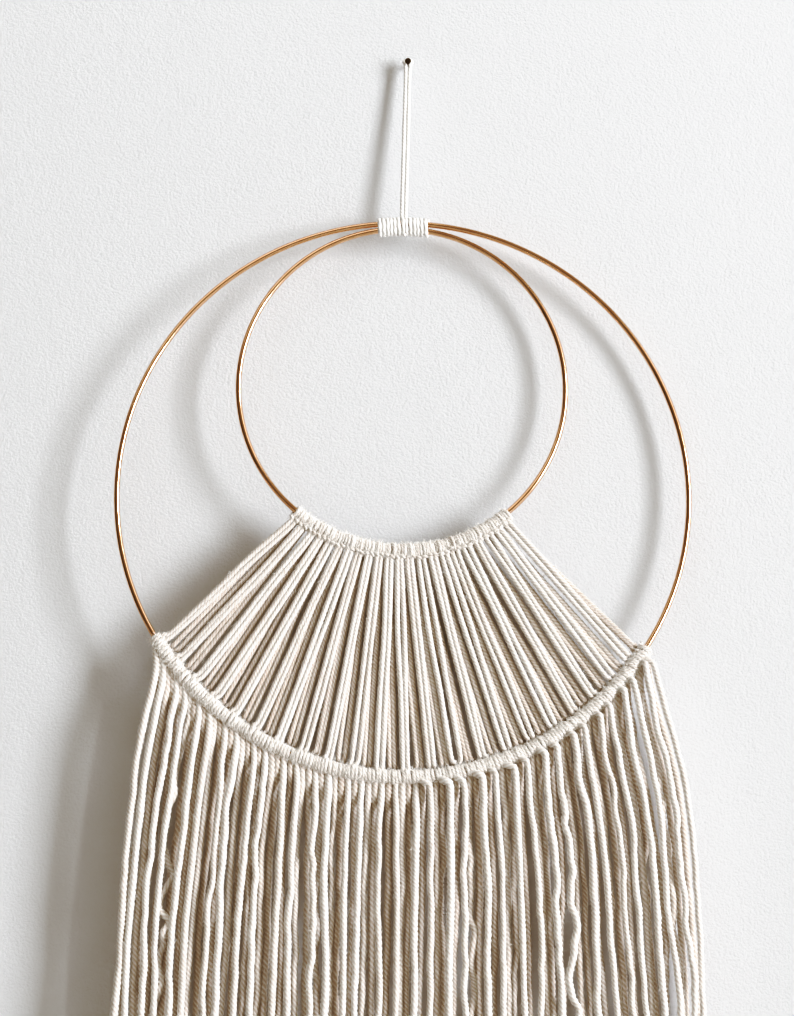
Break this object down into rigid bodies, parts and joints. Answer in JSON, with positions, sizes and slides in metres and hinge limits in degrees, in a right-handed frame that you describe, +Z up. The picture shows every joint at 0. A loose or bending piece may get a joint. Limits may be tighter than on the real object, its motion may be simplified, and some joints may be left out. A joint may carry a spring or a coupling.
{
  "type": "macrame wall hanging on two metal hoops, with its wall nail",
  "caption": "Wall hanging of ivory yarn: a small gold metal hoop inside a large one, joined by a fan of knotted strands, with a long fringe below, hung on a nail by a cord loop.",
  "frame": {"origin": "where the nail's shank leaves the wall, which is the plane Y = 0", "axes": "+Z up, +X to the right as seen from the room, -Y out of the wall towards the room"},
  "size_m": [0.3084, 0.0273, 0.7085],
  "materials": {
    "gold_metal": "thin bright gold plating on steel wire, lightly rubbed",
    "ivory_yarn": "soft matt plied yarn with a light fuzz",
    "white_yarn": "soft matt white cotton yarn",
    "nail_steel": "dark blackened steel"
  },
  "bodies": {
    "root": {"wall_nail": "nail_steel", "hanging_loop": "white_yarn", "top_binding": "white_yarn", "large_hoop": "gold_metal", "small_hoop": "gold_metal", "knotted_web": "ivory_yarn", "fringe": "ivory_yarn"}
  },
  "joints": []
}
